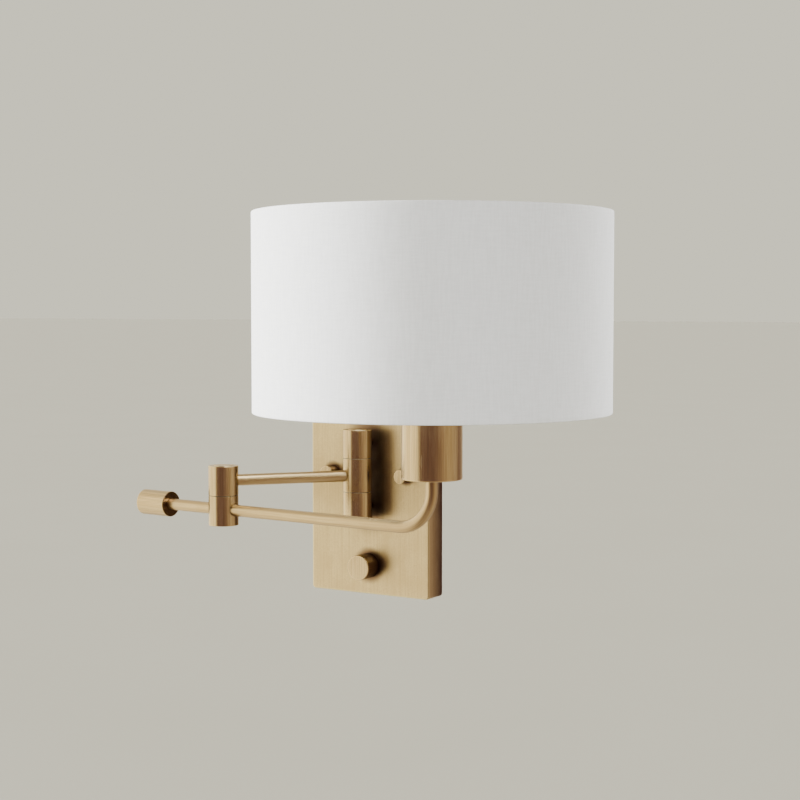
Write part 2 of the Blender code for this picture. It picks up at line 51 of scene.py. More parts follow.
class Socket:
    """One value in a node tree. Arithmetic on it adds Math nodes."""

    def __init__(self, graph, socket):
        self.graph = graph
        self.socket = socket

    def __add__(self, other):
        return self.graph.maths("ADD", self, other)

    def __sub__(self, other):
        return self.graph.maths("SUBTRACT", self, other)

    def __rsub__(self, other):
        return self.graph.maths("SUBTRACT", other, self)

    def __mul__(self, other):
        return self.graph.maths("MULTIPLY", self, other)

    def __truediv__(self, other):
        return self.graph.maths("DIVIDE", self, other)

    __radd__ = __add__
    __rmul__ = __mul__


class Graph:
    """A node tree that is being written, one node at a time."""

    def __init__(self, tree):
        self.tree = tree
        tree.nodes.clear()

    def node(self, kind, settings=None, sockets=None, give=0):
        """Adds a node: its settings first, then its sockets' values or links. Returns one output."""
        made = self.tree.nodes.new(kind)
        for name, value in (settings or {}).items():
            if name == "stops":
                ramp = made.color_ramp.elements
                for place, colour in value[1:-1]:
                    ramp.new(place)
                for element, (place, colour) in zip(ramp, value):
                    element.position = place
                    element.color = (*colour, 1)
            else:
                setattr(made, name, value)
        for name, value in (sockets or {}).items():
            if isinstance(value, Socket):
                self.tree.links.new(value.socket, made.inputs[name])
            else:
                made.inputs[name].default_value = value
        return Socket(self, made.outputs[give]) if len(made.outputs) else made

    def maths(self, operation, *values):
        return self.node("ShaderNodeMath", {"operation": operation}, dict(enumerate(values)))

    def blend(self, share, first, second):
        """A colour between two others."""
        first, second = [(*c, 1) if isinstance(c, tuple) else c for c in (first, second)]
        return self.node("ShaderNodeMix", {"data_type": "RGBA"}, {0: share, 6: first, 7: second}, 2)

    def step(self, value, low, high):
        """Rises smoothly from 0 to 1 as value goes from low to high."""
        sockets = {"Value": value, 1: low, 2: high}
        return self.node("ShaderNodeMapRange", {"interpolation_type": "SMOOTHSTEP"}, sockets)

    def parts(self, vector):
        """A vector's three components."""
        split = self.node("ShaderNodeSeparateXYZ", sockets={0: vector})
        return [Socket(self, output) for output in split.socket.node.outputs]

    def where(self):
        """Where a point lies on its piece, in metres."""
        return self.node("ShaderNodeTexCoord", give="Object")

    def stored(self, name, give):
        """A value that the mesh carries."""
        return self.node("ShaderNodeAttribute", {"attribute_name": name}, give=give)

    def noise(self, place, scale, detail, roughness=0.5):
        """Clouds. A scale of three numbers draws them out along the axes."""
        if isinstance(scale, tuple):
            place = self.node("ShaderNodeMapping", sockets={"Vector": place, "Scale": scale})
            scale = 1.0
        sockets = {"Vector": place, "Scale": scale, "Detail": detail, "Roughness": roughness}
        return self.node("ShaderNodeTexNoise", sockets=sockets)

    def relief(self, height, strength, distance):
        sockets = {"Height": height, "Strength": strength, "Distance": distance}
        return self.node("ShaderNodeBump", sockets=sockets)

    def skin(self, sockets):
        """Ends a material with its one shader."""
        shader = self.node("ShaderNodeBsdfPrincipled", sockets=sockets)
        self.node("ShaderNodeOutputMaterial", sockets={0: shader})


def new_finish(name):
    """An empty material, and the graph for its nodes."""
    material = bpy.data.materials.new(name)
    material.use_nodes = True
    return material, Graph(material.node_tree)


def placed(name, data):
    """A new object in the scene."""
    thing = bpy.data.objects.new(name, data)
    bpy.context.scene.collection.objects.link(thing)
    return thing


def light_room():
    """What the metal reflects: a band of tones all round, paler above and below than in front."""
    window, near_window, sky = (1.78, 1.61, 1.15), (1.40, 1.27, 0.91), (2.60, 2.35, 1.75)
    dim, deep, dusk = (0.18, 0.112, 0.105), (0.19, 0.115, 0.105), (0.035, 0.023, 0.050)
    warm, half, wall = (0.58, 0.47, 0.32), (0.33, 0.23, 0.17), (0.48, 0.39, 0.31)
    left_wall, above = (0.95, 0.86, 0.66), (0.42, 0.34, 0.25)
    below, under = (0.60, 0.51, 0.38), (0.34, 0.27, 0.19)
    backdrop = (0.93, 0.895, 0.71)
    # The bearing is 0 straight out from the wall, -90 to the left and 90 to the right.
    tones = [
        (-180, wall), (-150, left_wall), (-120, left_wall), (-106, sky),
        (-92, window), (-48, window), (-25, near_window), (-18, dim),
        (40, dim), (66, half), (94, warm), (106, warm),
        (134, wall), (152, deep), (180, wall),
    ]
    world = bpy.data.worlds.new("room")
    bpy.context.scene.world = world
    world.use_nodes = True
    room = Graph(world.node_tree)
    across, depth, height = room.parts(room.node("ShaderNodeTexCoord", give="Generated"))
    bearing = room.maths("ARCTAN2", across, 0 - depth) * math.degrees(1)
    stops = [((turn + 180) / 360, colour) for turn, colour in tones]
    band = room.node("ShaderNodeValToRGB", {"stops": stops}, {0: bearing / 360 + 0.5})
    colour = room.blend(room.step(height, 0.50, 0.88), band, above)
    colour = room.blend(room.step(height, -0.30, -0.85) * 0.6, colour, below)
    colour = room.blend(room.step(height, -0.93, -0.995) * 0.8, colour, under)
    seen = room.node("ShaderNodeLightPath", give="Is Camera Ray")
    # A room is dim in its corners: what has been mirrored twice is seen by less of its light.
    mirrored = Socket(room, seen.socket.node.outputs["Glossy Depth"])
    lost = room.maths("MINIMUM", room.maths("MAXIMUM", mirrored - 1, 0) * 0.62, 1)
    colour = room.blend(lost, colour, dusk)
    light = room.node("ShaderNodeBackground", sockets={0: room.blend(seen, colour, backdrop), 1: 1.0})
    room.node("ShaderNodeOutputWorld", sockets={0: light})


def soft_sun(name, strength, colour, bearing, height, angle):
    """A soft distant light that comes from a bearing and a height above the floor, in degrees."""
    lamp = bpy.data.lights.new(name, "SUN")
    lamp.energy = strength
    lamp.color = colour
    lamp.angle = math.radians(angle)
    sun = placed(name, lamp)
    turn, rise = math.radians(bearing), math.radians(height)
    towards = (math.sin(turn) * math.cos(rise), -math.cos(turn) * math.cos(rise), math.sin(rise))
    sun.rotation_euler = Vector(towards).to_track_quat("Z", "Y").to_euler()
    sun.visible_glossy = False


def lay_floor():
    """A plain pale floor below the lamp, so wide that its far edge is out of sight."""
    half_side, drop = 60.0, 0.42
    finish, graph = new_finish("pale_floor")
    cloud = graph.noise(graph.where(), 3.0, 4.0)
    tone = graph.blend(cloud, (0.375, 0.365, 0.300), (0.395, 0.385, 0.318))
    graph.skin({"Base Color": tone, "Roughness": 0.9})
    mesh = bpy.data.meshes.new("studio_floor")
    corners = [(x * half_side, y * half_side, -drop) for x, y in ((-1, -1), (1, -1), (1, 1), (-1, 1))]
    mesh.from_pydata(corners, [], [(0, 1, 2, 3)])
    mesh.materials.append(finish)
    floor = placed("studio_floor", mesh)
    floor.visible_glossy = False


def aim_camera():
    """The camera stands to the right of the lamp, a little above its arms, and looks slightly down."""
    lens = 71.48
    place = Vector((0.7417, -1.1793, 0.1436))
    bearing, pitch = math.radians(31.57), math.radians(3.32)
    data = bpy.data.cameras.new("camera")
    data.lens = lens
    data.clip_start, data.clip_end = 0.05, 200.0
    camera = placed("camera", data)
    camera.location = place
    camera.rotation_euler = (math.pi / 2 - pitch, 0.0, bearing)
    bpy.context.scene.camera = camera


light_room()
soft_sun("window_light", 19.5, (0.97, 0.985, 1.0), -68, 8, 20)
soft_sun("room_light", 4.4, (0.90, 0.95, 1.0), 38, 10, 60)
soft_sun("wall_light", 13.5, (0.94, 0.97, 1.0), 165, 5, 40)
lay_floor()
aim_camera()


# -----
# Backplate. A folded pan of brass sheet, open at the back, brushed up and down and lacquered.
# It covers the wall box, and the two cap nuts draw it against the wall.

class Extent:
    """A node's lowest and highest corners, its middle, its size, and the middle of its back."""

    def __init__(self, node):
        self.low, self.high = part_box(node)
        self.middle = (self.low + self.high) / 2
        self.size = self.high - self.low
        self.back = Vector((self.middle.x, self.high.y, self.middle.z))


def brushed_brass(name, tone, deep, roughness, contrast, speckle, cloudiness, shade_spots=()):
    """Satin brass with fine lines along the grain, faint cloudiness, brighter rubbed edges, and a
    brown of patina and painted shade where parts stand close. Each shade spot is such a place on
    a plate's face: its middle, half of its height, and how far from its middle line it is full, and gone."""
    material, metal = new_finish(name)
    grain = metal.stored("grain", "Vector")
    hairlines = metal.noise(grain, (1700.0, 1700.0, 30.0), 2.0, 0.55)
    streaks = metal.noise(grain, (520.0, 520.0, 8.0), 3.0, 0.55)
    cloud = metal.noise(grain, (75.0, 75.0, 60.0), 3.0, 0.55)
    rubbed = metal.stored("edge", "Fac")
    place = metal.where()
    grit = metal.noise(place, 800.0, 3.0)
    lines_share = (1 - speckle) * 0.5
    mix = hairlines * lines_share + streaks * lines_share + grit * speckle
    shade = metal.step(mix, 0.5 - contrast, 0.5 + contrast)
    colour = metal.blend(shade, deep, tone)
    colour = metal.blend(metal.step(cloud, 0.35, 0.70) * cloudiness, colour, deep)
    bright = tuple(min(1.0, part * 1.12) for part in tone)
    colour = metal.blend(metal.step(rubbed + cloud * 0.3, 0.55, 1.0) * 0.7, colour, bright)
    aged = metal.stored("aged", "Fac")
    for middle, half_height, full, gone in shade_spots:
        across, depth, up = metal.parts(place)
        aside = across - middle.x
        # Depth counts many times over, so that the painted shade stays off the plate's inside.
        beneath = (depth - middle.y) * 20
        past_end = metal.maths("MAXIMUM", metal.maths("ABSOLUTE", up - middle.z) - half_height, 0)
        away = metal.maths("SQRT", aside * aside + beneath * beneath + past_end * past_end)
        aged = metal.maths("MAXIMUM", aged, metal.step(away, gone, full) * 0.93)
    # Painted shade, with some patina: dark brown by the amount the mesh carries and in each shade spot.
    colour = metal.blend(aged * (0.75 + 0.4 * cloud), colour, (0.15, 0.078, 0.058))
    dull = roughness + 0.10 * (hairlines - 0.5) + 0.08 * (cloud - 0.5) - 0.04 * rubbed
    bump = metal.relief(hairlines * 0.6 + streaks * 0.4, 0.045, 0.00012)
    metal.skin({"Base Color": colour, "Metallic": 1.0, "Roughness": dull, "Normal": bump})
    return material


plate = Extent("canopy")


def before_plate(node):
    """The point on the plate's face behind a node's middle."""
    middle = Extent(node).middle
    return Vector((middle.x, plate.low.y, middle.z))


post_low, post_high = Extent("post_lower_sleeve").low, Extent("post_upper_sleeve").high
post_foot = Vector(((post_low.x + post_high.x) / 2, plate.low.y, (post_low.z + post_high.z) / 2))
# Painted shade, with some patina, on the plate's face around the post, the knob and the cap nuts.
plate_shade_spots = [
    (post_foot, (post_high.z - post_low.z) / 2 - 0.009, 0.009, 0.028),
    (before_plate("dimmer_knob"), 0.0, 0.0110, 0.0180),
    (before_plate("cap_nut_left"), 0.0, 0.0064, 0.0110),
    (before_plate("cap_nut_right"), 0.0, 0.0064, 0.0100),
]
satin = (0.84, 0.66, 0.37), (0.65, 0.48, 0.25)
satin_sheet = (0.97, 0.785, 0.44), (0.80, 0.62, 0.32)
brass = brushed_brass("satin_brass", *satin, 0.24, 0.11, 0.0, 0.25)
sheet_brass = brushed_brass("satin_brass_sheet", *satin_sheet, 0.37, 0.13, 0.32, 0.5, plate_shade_spots)


def lay_grain(mesh, frame_matrix):
    """Stores where each corner lies in the piece's own frame, with the brushing along its +Z.
    Faces that look along +Z are brushed across, so their corners are laid down on their side."""
    to_local = frame_matrix.inverted()
    turn = to_local.to_3x3()
    grain = mesh.attributes.get("grain") or mesh.attributes.new("grain", "FLOAT_VECTOR", "CORNER")
    values = [0.0] * (3 * len(mesh.loops))
    for face in mesh.polygons:
        facing_end = abs((turn @ face.normal).z) > 0.8
        for index in face.loop_indices:
            x, y, z = to_local @ mesh.vertices[mesh.loops[index].vertex_index].co
            values[3 * index : 3 * index + 3] = (x, z, y) if facing_end else (x, y, z)
    grain.data.foreach_set("vector", values)


def new_piece(name, mesh, material, body, slot, *stands_for):
    """Shows a finished mesh as one piece of the lamp, moving with its body."""
    piece = placed(name, mesh)
    mesh.materials.clear()
    mesh.materials.append(material)
    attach(piece, body)
    if stands_for:
        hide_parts(*stands_for)
    return piece


crease = math.radians(32)


def settle(bm, name):
    """Turns a bmesh into a mesh with its faces outwards, smooth but for its sharp edges."""
    bmesh.ops.remove_doubles(bm, verts=bm.verts, dist=1e-7)
    bmesh.ops.recalc_face_normals(bm, faces=bm.faces)
    mesh = bpy.data.meshes.new(name)
    bm.to_mesh(mesh)
    bm.free()
    mesh.shade_smooth()
    mesh.set_sharp_from_angle(angle=crease)
    return mesh


def skin_loops(bm, loops, closed_in_depth=False):
    """Faces between each loop of vertices and the next, any of which may be a single point."""
    pairs = list(zip(loops, loops[1:]))
    if closed_in_depth:
        pairs.append((loops[-1], loops[0]))
    for near, far in pairs:
        count = max(len(near), len(far))
        for i in range(count):
            j = (i + 1) % count
            corners = [near[i % len(near)], near[j % len(near)], far[j % len(far)], far[i % len(far)]]
            corners = [c for k, c in enumerate(corners) if c not in corners[:k]]
            if len(corners) > 2:
                bm.faces.new(corners)


def drilled(mesh, name, cutters):
    """Cuts the cutters' shapes out of a mesh and gives the plain result."""
    whole = placed(name, mesh)
    tools = []
    for number, cutter in enumerate(cutters):
        tools.append(placed(f"{name}_tool_{number}", cutter))
        cut = whole.modifiers.new(f"cut_{number}", "BOOLEAN")
        cut.operation = "DIFFERENCE"
        cut.object = tools[-1]
    bpy.context.view_layer.update()
    evaluated = whole.evaluated_get(bpy.context.evaluated_depsgraph_get())
    result = bpy.data.meshes.new_from_object(evaluated)
    for thing in [whole, *tools]:
        bpy.data.objects.remove(thing)
    result.name = name
    result.shade_smooth()
    result.set_sharp_from_angle(angle=crease)
    return result


def between(near, far):
    """The points from near up to far on an outline, close enough together for painted shade and patina to
    vary.
    """
    longest = 0.0015
    (start, wear), (end, _) = near, far
    count = max(1, math.ceil((end - start).length / longest))
    return [(start.lerp(end, k / count), wear if k == 0 else 0.0) for k in range(count)]


def lathe(name, outline, place, pointing, sides=96, ring=False, patina=None):
    """A turned shape. outline holds (radius, height, rounding) corners in metres along the axis, which
    starts at place and points along pointing. A ring's outline is closed and stays off the axis.
    The last argument gives how far painted shade and patina darken the brass, from where a point lies around
    the start of the axis."""
    points = []
    count = len(outline)
    for i, (radius, height, rounding) in enumerate(outline):
        corner = Vector((radius, height))
        at_end = not ring and i in (0, count - 1)
        if at_end or rounding <= 0:
            points.append((corner, 0.0))
            continue
        back = Vector(outline[i - 1][:2]) - corner
        onward = Vector(outline[(i + 1) % count][:2]) - corner
        support = min(rounding + 0.0003, min(back.length, onward.length) * 0.45)
        back.normalize()
        onward.normalize()
        points.append((corner + back * support, 0.0))
        for share in (0.0, 0.25, 0.5, 0.75, 1.0):
            bend = (1 - share) ** 2 * back + share**2 * onward
            points.append((corner + bend * rounding, 1.0))
        points.append((corner + onward * support, 0.0))
    if patina:
        close = [point for near, far in zip(points, points[1:]) for point in between(near, far)]
        points = close + points[-1:]
    turn = Vector(pointing).normalized().to_track_quat("Z", "Y").to_matrix().to_4x4()
    stand = Matrix.Translation(place) @ turn
    bm = bmesh.new()
    rubbed, aged = bm.verts.layers.float.new("edge"), bm.verts.layers.float.new("aged")
    loops = []
    for point, wear in points:
        around = 1 if point.x < 1e-7 else sides
        loop = []
        for k in range(around):
            angle = math.tau * k / sides
            x, y = point.x * math.cos(angle), point.x * math.sin(angle)
            vert = bm.verts.new(stand @ Vector((x, y, point.y)))
            vert[rubbed] = wear
            vert[aged] = patina(vert.co - Vector(place)) if patina else 0.0
            loop.append(vert)
        loops.append(loop)
    skin_loops(bm, loops, ring)
    mesh = settle(bm, name)
    lay_grain(mesh, stand)
    return mesh, stand


def bore(radius, reach, start, direction, sides):
    """The mesh of a round cutter."""
    outline = [(0, 0, 0), (radius, 0, 0), (radius, reach, 0), (0, reach, 0)]
    return lathe("hole", outline, start, direction, sides)[0]


plate_corner, plate_edge, plate_wall = 0.0030, 0.0010, 0.0015


def plate_loop(bm, inset, depth, wear=0.0, patina=0.0):
    """A rounded rectangle as wide and high as the backplate less an inset, at a depth out of the wall."""
    steps = 10
    corner = max(plate_corner - inset, 0.0006)
    rubbed, aged = bm.verts.layers.float["edge"], bm.verts.layers.float["aged"]
    left, right = plate.low.x + inset + corner, plate.high.x - inset - corner
    foot, head = plate.low.z + inset + corner, plate.high.z - inset - corner
    loop = []
    for x, z, start in ((right, head, 0), (left, head, 90), (left, foot, 180), (right, foot, 270)):
        for k in range(steps + 1):
            angle = math.radians(start + 90 * k / steps)
            vert = bm.verts.new((x + corner * math.cos(angle), -depth, z + corner * math.sin(angle)))
            vert[rubbed], vert[aged] = wear, patina
            loop.append(vert)
    return loop


def make_backplate():
    """The pan is skinned from its inside, round its open back edge and up to its rounded front."""
    front = -plate.low.y
    support, back_edge, hole_depth = 0.0005, 0.0004, 0.010
    bm = bmesh.new()
    for name in ("edge", "aged"):
        bm.verts.layers.float.new(name)
    # Painted shade, with some patina: the side walls darken towards the wall, and so does the inside at the
    # back edge.
    loops = [plate_loop(bm, plate_wall, front - plate_wall), plate_loop(bm, plate_wall, 0, 0, 0.5)]
    for share in (1.0, 0.8, 0.6, 0.4, 0.2, 0.0):
        depth = back_edge + (1 - share) * 0.85 * front
        loops.append(plate_loop(bm, 0, depth, 0, 1.15 * share**0.9))
    loops.append(plate_loop(bm, 0, front - plate_edge - support))
    for k in range(6):
        angle = math.radians(90 * k / 5)
        inset = plate_edge * (1 - math.cos(angle))
        loops.append(plate_loop(bm, inset, front - plate_edge * (1 - math.sin(angle)), 1.0))
    loops.append(plate_loop(bm, plate_edge + support, front))
    skin_loops(bm, loops)
    bm.faces.new(loops[-1])
    bm.faces.new(loops[0])
    mesh = settle(bm, "backplate")
    holes = []
    for node, radius in (
        ("stud_left", 0.0024), ("stud_right", 0.0024), ("wire_nipple", 0.0043),
        ("lower_standoff", 0.0043), ("dimmer_bushing", 0.0050),
    ):
        middle = Extent(node).middle
        start = (middle.x, -front + 0.6 * hole_depth, middle.z)
        holes.append(bore(radius, hole_depth, start, (0, -1, 0), 40))
    mesh = drilled(mesh, "backplate", holes)
    lay_grain(mesh, Matrix.Identity(4))
    new_piece("backplate", mesh, sheet_brass, "wall_unit", "satin_brass", "canopy")


make_backplate()


# -----
# Cap nuts. Two plain round brass nuts, blind at the front, turned on to the studs by hand.
# Their rims are broken with a fine chamfer.

def turned(name, material, body, slot, node, outline, place, pointing, **how):
    """A turned piece that stands for one node."""
    mesh, _ = lathe(name, outline, place, pointing, **how)
    new_piece(name, mesh, material, body, slot, node)


out_of_wall = (0, -1, 0)


def make_cap_nut(side):
    node = f"cap_nut_{side}"
    nut = Extent(node)
    radius, length, hole, wall = nut.size.x / 2, nut.size.y, 0.0022, 0.0016
    outline = [
        (0, length - wall, 0), (hole, length - wall, 0), (hole, 0, 0), (radius, 0, 0.0002),
        (radius, length, 0.0005), (0, length, 0),
    ]

    # Painted shade, with some patina: the nut darkens towards the plate.
    def darkened(point):
        return 0.95 * max(0.0, 1 + point.y / length) ** 0.25

    how = {"outline": outline, "place": nut.back, "pointing": out_of_wall, "patina": darkened}
    turned(f"round_{node}", brass, "wall_unit", "satin_brass", node, **how)


for side in ("left", "right"):
    make_cap_nut(side)


# -----
# Hinge sleeves. Short lengths of thick brass tube, bored for the spindle and counterbored for
# the plug at their outer end. The arm tubes are let into holes in their sides.

hub_radius = Extent("post_upper_sleeve").size.x / 2
spindle_bore, plug_pocket, plug_depth = 0.0050, 0.0084, 0.0062
tube_hole = 0.00505


def axis_of(node):
    """Where an upright turned node's axis passes the level of the origin."""
    middle = Extent(node).middle
    return Vector((middle.x, middle.y, 0))


def level_of(node):
    """The height of a node's middle, as a vector."""
    return Vector((0, 0, Extent(node).middle.z))


post_axis = axis_of("post_upper_sleeve")
elbow_axis = axis_of("elbow_upper_sleeve")
lamp_axis = axis_of("socket_cup")
inner_level = level_of("inner_arm_tube")
outer_level = level_of("handle_rod")
along_inner = (elbow_axis - post_axis).normalized()
along_outer = (lamp_axis - elbow_axis).normalized()


def darker_behind(point):
    """Painted shade, with some patina: the post's side towards the plate is darker."""
    return 0.5 * min(1.0, max(0.0, point.y / hub_radius - 0.1) * 1.6)


def make_sleeve(node, body, plug_up, *holes):
    """A sleeve, with a pocket at its plug's end and holes at (level, direction). plug_up says at
    which end the plug is, and is None where there is no plug."""
    sleeve = Extent(node)
    length = sleeve.size.z
    edge, seam_edge = 0.0004, 0.00015
    outline = [(spindle_bore, 0, 0), (hub_radius, 0, seam_edge)]
    if plug_up is None:
        outline += [(hub_radius, length, seam_edge), (spindle_bore, length, 0)]
    else:
        outline += [
            (hub_radius, length, edge), (plug_pocket, length, 0.0001),
            (plug_pocket, length - plug_depth, 0), (spindle_bore, length - plug_depth, 0),
        ]
    axis = axis_of(node)
    upside_down = plug_up is False
    foot = axis + Vector((0, 0, sleeve.high.z if upside_down else sleeve.low.z))
    pointing = (0, 0, -1) if upside_down else (0, 0, 1)
    patina = darker_behind if abs(axis.x - post_axis.x) < 0.001 else None
    mesh, stand = lathe(node, outline, foot, pointing, 120, True, patina)
    reach = hub_radius + 0.004
    cutters = []
    for level, direction in holes:
        start = axis + level + direction * spindle_bore * 0.4
        cutters.append(bore(tube_hole, reach, start, direction, 48))
    mesh = drilled(mesh, node, cutters)
    lay_grain(mesh, stand)
    new_piece(f"{node}_turned", mesh, brass, body, "satin_brass", node)


to_wall = Vector((0, 1, 0))
make_sleeve("post_upper_sleeve", "wall_unit", True, (level_of("wire_nipple"), to_wall))
make_sleeve("post_lower_sleeve", "wall_unit", False, (level_of("lower_standoff"), to_wall))
make_sleeve("shoulder_hub", "inner_arm", None, (inner_level, along_inner))
make_sleeve("elbow_upper_sleeve", "inner_arm", True, (inner_level, -along_inner))
both_ways = [(outer_level, along_outer), (outer_level, -along_outer)]
make_sleeve("elbow_lower_sleeve", "outer_arm", False, *both_ways)


# -----
# Hinge plugs and seam washers. A thin brass disc presses into each outer end of a hinge, and a
# dark nylon washer fills each seam, where it shows as a fine line.

def make_plug(node, body, up):
    disc = Extent(node)
    radius, thickness = disc.size.x / 2, disc.size.z
    outline = [(0, 0, 0), (radius, 0, 0), (radius, thickness, 0.00035), (0, thickness, 0)]
    foot = axis_of(node) + Vector((0, 0, disc.low.z if up else disc.high.z))
    how = {"outline": outline, "place": foot, "pointing": (0, 0, 1 if up else -1), "sides": 72}
    turned(f"{node}_turned", brass, body, "satin_brass", node, **how)


make_plug("post_upper_plug", "wall_unit", True)
make_plug("post_lower_plug", "wall_unit", False)
make_plug("elbow_upper_plug", "inner_arm", True)
make_plug("elbow_lower_plug", "outer_arm", False)


def moulded(name, tone, other, roughness, scale=900.0, bump=0.08):
    """A plastic or painted finish: two close tones in a fine mottle, with a slightly uneven gloss."""
    material, graph = new_finish(name)
    place = graph.where()
    fine = graph.noise(place, scale, 3.0)
    broad = graph.noise(place, scale * 0.06, 2.0)
    colour = graph.blend(graph.step(fine * 0.5 + broad * 0.5, 0.3, 0.7), tone, other)
    dull = roughness + 0.12 * (broad - 0.5)
    relief = graph.relief(fine, bump, 0.0001)
    graph.skin({"Base Color": colour, "Roughness": dull, "Normal": relief})
    return material


def refinish(material, *nodes):
    """Gives CAD nodes whose shape is already right a finished material."""
    for node in nodes:
        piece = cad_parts[node]
        if not piece.material_slots:
            piece.data.materials.append(material)
        for slot in piece.material_slots:
            slot.material = material


nylon = moulded("dark_nylon", (0.035, 0.024, 0.016), (0.06, 0.042, 0.03), 0.5)
refinish(nylon, "post_upper_washer", "post_lower_washer", "elbow_washer")


# -----
# Arm tubes. Brass tube of 9.6 mm, brushed along its length. The outer one is bent up through a
# quarter turn to carry the lamp, and the rod for the handle runs on behind the elbow.

def drawn_line(name, points):
    """A curve object of straight runs, for a geometry tree to start from."""
    curve = bpy.data.curves.new(name, "CURVE")
    curve.dimensions = "3D"
    spline = curve.splines.new("POLY")
    spline.points.add(len(points) - 1)
    for point, place in zip(spline.points, points):
        point.co = (*place, 1)
    return placed(name, curve)


def blank_start(name):
    """An empty mesh object, for a geometry tree that makes its own shapes."""
    return placed(name, bpy.data.meshes.new(name))


class Tree(Graph):
    """A geometry tree with named inputs, which are given with their usual values."""

    def __init__(self, name, **inputs):
        super().__init__(bpy.data.node_groups.new(name, "GeometryNodeTree"))
        interface = self.tree.interface
        interface.new_socket("geometry", in_out="INPUT", socket_type="NodeSocketGeometry")
        for size, value in inputs.items():
            kind = "NodeSocketInt" if isinstance(value, int) else "NodeSocketFloat"
            interface.new_socket(size, in_out="INPUT", socket_type=kind).default_value = value
        interface.new_socket("material", in_out="INPUT", socket_type="NodeSocketMaterial")
        interface.new_socket("geometry", in_out="OUTPUT", socket_type="NodeSocketGeometry")
        entry = self.tree.nodes.new("NodeGroupInput")
        self.given = {socket.name: Socket(self, socket) for socket in entry.outputs}

    def circle(self, points, radius):
        sockets = {"Resolution": points, "Radius": radius}
        return self.node("GeometryNodeCurvePrimitiveCircle", {"mode": "RADIUS"}, sockets)

    def swept(self, path, section, caps=True):
        """A solid with one section all along a path."""
        sockets = {"Curve": path, "Profile Curve": section, "Fill Caps": caps}
        return self.node("GeometryNodeCurveToMesh", {}, sockets)

    def filleted(self, steps, limited=False):
        """The starting line with its corners rounded."""
        sockets = {"Curve": self.given["geometry"], "Count": steps, "Radius": self.given["bend"]}
        sockets["Limit Radius"] = limited
        return self.node("GeometryNodeFilletCurve", {"mode": "POLY"}, sockets)

    def store(self, shape, kind, name, value):
        sockets = {0: shape, "Name": name, "Value": value}
        settings = {"data_type": kind, "domain": "POINT"}
        return self.node("GeometryNodeStoreNamedAttribute", settings, sockets)

    def recall(self, kind, name):
        return self.node("GeometryNodeInputNamedAttribute", {"data_type": kind}, {"Name": name})

    def all_round(self, shape, start=0.0):
        """A shape repeated evenly round the Z axis."""
        count = self.given["count"]
        spots = self.node("GeometryNodePoints", {}, {"Count": count})
        index = self.node("GeometryNodeInputIndex")
        turn = self.node("ShaderNodeCombineXYZ", sockets={2: index * math.tau / count + start})
        sockets = {"Points": spots, "Instance": shape, "Rotation": turn}
        return self.node("GeometryNodeInstanceOnPoints", {}, sockets)

    def end(self, shape):
        """Every tree ends alike: smooth, made real, and given its material."""
        smooth = self.node("GeometryNodeSetShadeSmooth", sockets={0: shape})
        real = self.node("GeometryNodeRealizeInstances", sockets={0: smooth})
        finish = {"Geometry": real, "Material": self.given["material"]}
        self.node("NodeGroupOutput", sockets={0: self.node("GeometryNodeSetMaterial", sockets=finish)})
        return self

    def grown(self, base, name, place=(0, 0, 0), **sizes):
        """Runs the tree on its starting object and keeps the result as a plain mesh at a place."""
        modifier = base.modifiers.new("tree", "NODES")
        modifier.node_group = self.tree
        for item in self.tree.interface.items_tree:
            if item.in_out == "INPUT" and item.name in sizes:
                modifier[item.identifier] = sizes[item.name]
        bpy.context.view_layer.update()
        evaluated = base.evaluated_get(bpy.context.evaluated_depsgraph_get())
        mesh = bpy.data.meshes.new_from_object(evaluated)
        mesh.name = name
        bpy.data.objects.remove(base)
        mesh.transform(Matrix.Translation(place))
        return mesh


def bent_bar_tree():
    """A round bar along a line whose corners are rounded, with the grain laid along it."""
    tree = Tree("bent_bar", radius=0.001, bend=0.001, sides=48, bend_steps=40)
    distance = tree.node("GeometryNodeSplineParameter", give="Length")
    measured = tree.store(tree.filleted(tree.given["bend_steps"]), "FLOAT", "along", distance)
    circle = tree.circle(tree.given["sides"], tree.given["radius"])
    section = tree.store(circle, "FLOAT_VECTOR", "across", tree.node("GeometryNodeInputPosition"))
    bar = tree.swept(measured, section)
    across, aside, _ = tree.parts(tree.recall("FLOAT_VECTOR", "across"))
    along = tree.recall("FLOAT", "along")
    grain = tree.node("ShaderNodeCombineXYZ", sockets={0: across, 1: aside, 2: along})
    return tree.end(tree.store(bar, "FLOAT_VECTOR", "grain", grain))


bent_bar = bent_bar_tree()
tube_brass = brushed_brass("satin_brass_tube", *satin, 0.33, 0.11, 0.0, 0.25)


def make_bar(name, body, points, bend, node):
    line = drawn_line(f"{name}_line", points)
    mesh = bent_bar.grown(line, name, radius=tube_radius, bend=bend, material=tube_brass)
    mesh.set_sharp_from_angle(angle=math.radians(50))
    new_piece(name, mesh, tube_brass, body, "satin_brass", node)


tube_radius = Extent("inner_arm_tube").size.z / 2
let_in = 0.0076
riser_top = Vector((0, 0, Extent("outer_arm_tube").high.z))
inner_run = [post_axis + along_inner * let_in, elbow_axis - along_inner * let_in]
inner_run = [point + inner_level for point in inner_run]
make_bar("inner_arm_bar", "inner_arm", inner_run, 0.0, "inner_arm_tube")
outer_run = [
    elbow_axis + along_outer * let_in + outer_level,
    lamp_axis + outer_level,
    lamp_axis + riser_top,
]
make_bar("outer_arm_bar", "outer_arm", outer_run, 0.030, "outer_arm_tube")


# -----
# Handle. A solid rod set into the elbow's lower sleeve, and a turned brass grip screwed on its
# end, by which the lamp is swung without touching the shade.

